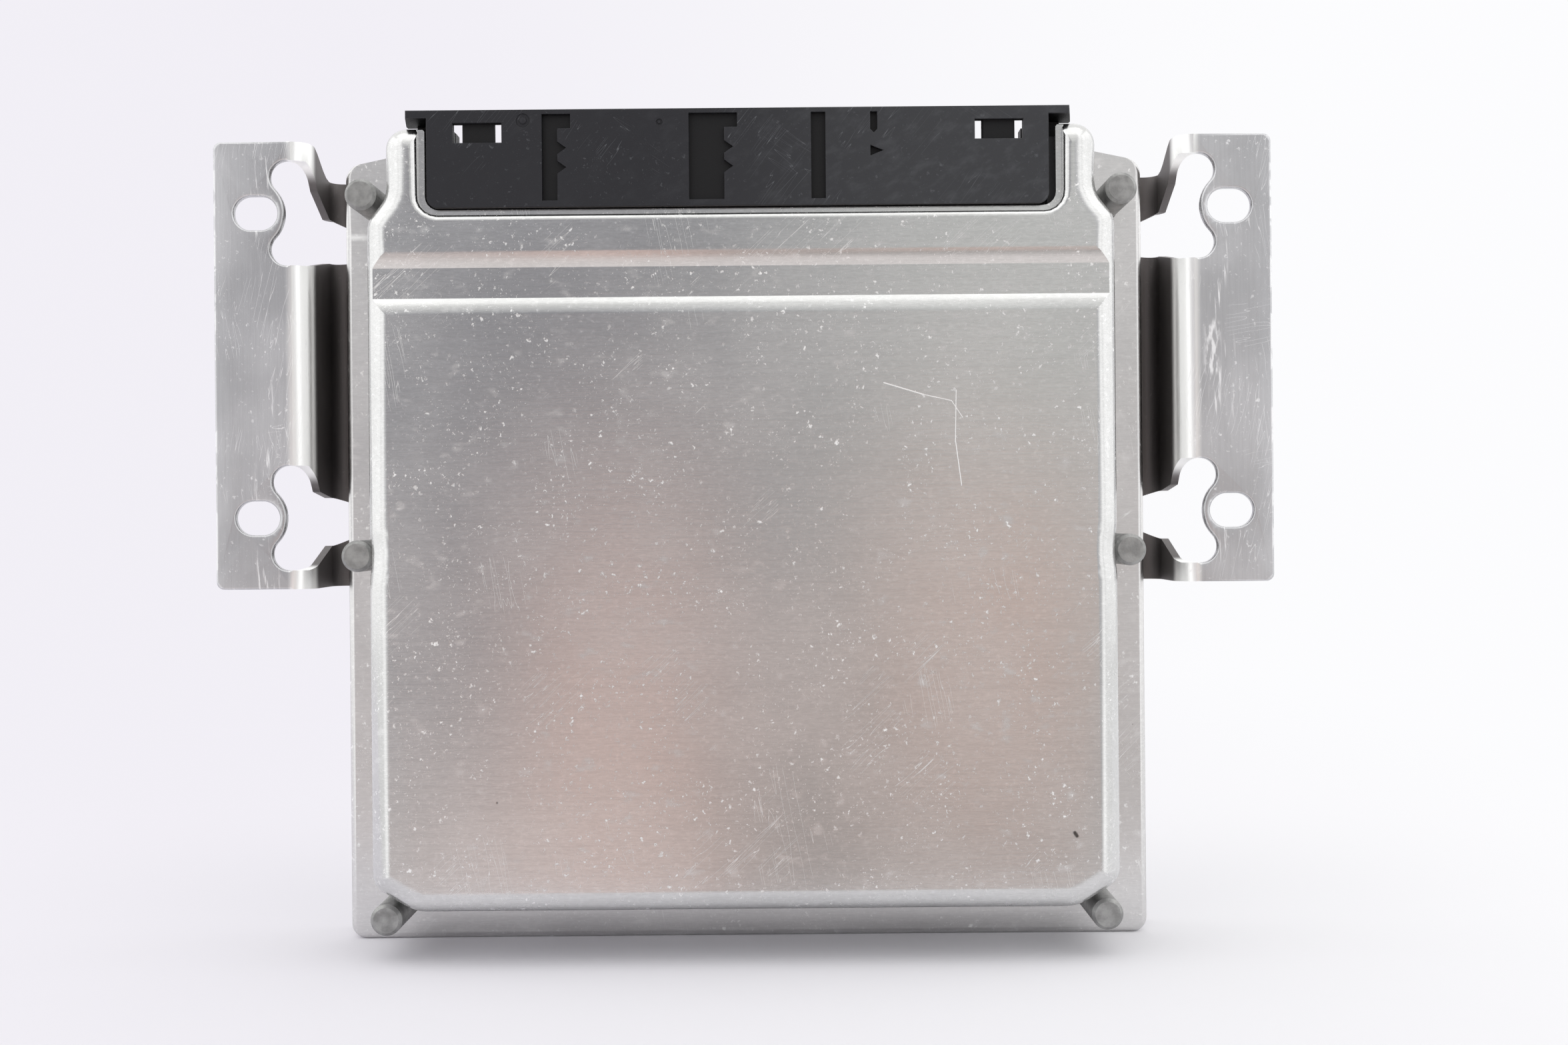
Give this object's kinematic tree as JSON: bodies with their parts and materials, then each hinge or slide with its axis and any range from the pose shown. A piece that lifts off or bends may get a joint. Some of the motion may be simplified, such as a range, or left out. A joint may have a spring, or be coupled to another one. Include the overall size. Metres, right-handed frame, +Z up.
{
  "type": "engine control unit",
  "caption": "Flat engine control unit with a deep drawn aluminium shell, a folded rear plate with slotted side brackets and a multi-bay connector header on its top edge.",
  "frame": {"origin": "centre of the four bracket slots, on the rear face of the two tabs", "axes": "+Z up towards the connector mouth, -Y out of the front face, +X to the right as seen from the front"},
  "size_m": [0.2118, 0.0401, 0.1636],
  "materials": {
    "shell_aluminium": "satin rolled aluminium with fine grain",
    "plate_aluminium": "satin folded sheet with scuffs",
    "post_steel": "dull grey",
    "screw_steel": "zinc plated",
    "header_plastic": "near-black moulded plastic",
    "contact_gold": "gold plated",
    "contact_tin": "tin plated",
    "seal_rubber": "soft black",
    "board_laminate": "green solder mask",
    "chip_epoxy": "moulded black",
    "pad_silicone": "pale blue",
    "capacitor_sleeve": "dark blue sleeve",
    "ceramic": "tan ceramic",
    "ferrite": "dark grey",
    "copper_wire": "enamelled copper"
  },
  "bodies": {
    "root": {"front_shell": "shell_aluminium", "rear_plate": "plate_aluminium", "threaded_posts": "post_steel", "cover_screws": "screw_steel", "connector_header": "header_plastic", "contact_carriers": "header_plastic", "signal_contacts": "contact_gold", "power_contacts": "contact_tin", "header_seal": "seal_rubber", "perimeter_seal": "seal_rubber", "circuit_board": "board_laminate", "board_spacers": "screw_steel", "board_screws": "screw_steel", "processor": "chip_epoxy", "memory_chips": "chip_epoxy", "driver_chips": "chip_epoxy", "voltage_regulator": "chip_epoxy", "crystal": "screw_steel", "power_transistors": "chip_epoxy", "thermal_pads": "pad_silicone", "transistor_rail": "plate_aluminium", "rail_screws": "screw_steel", "spring_clips": "screw_steel", "filter_capacitors": "capacitor_sleeve", "ceramic_capacitors": "ceramic", "resistors": "chip_epoxy", "choke_core": "ferrite", "choke_winding": "copper_wire"}
  },
  "joints": []
}
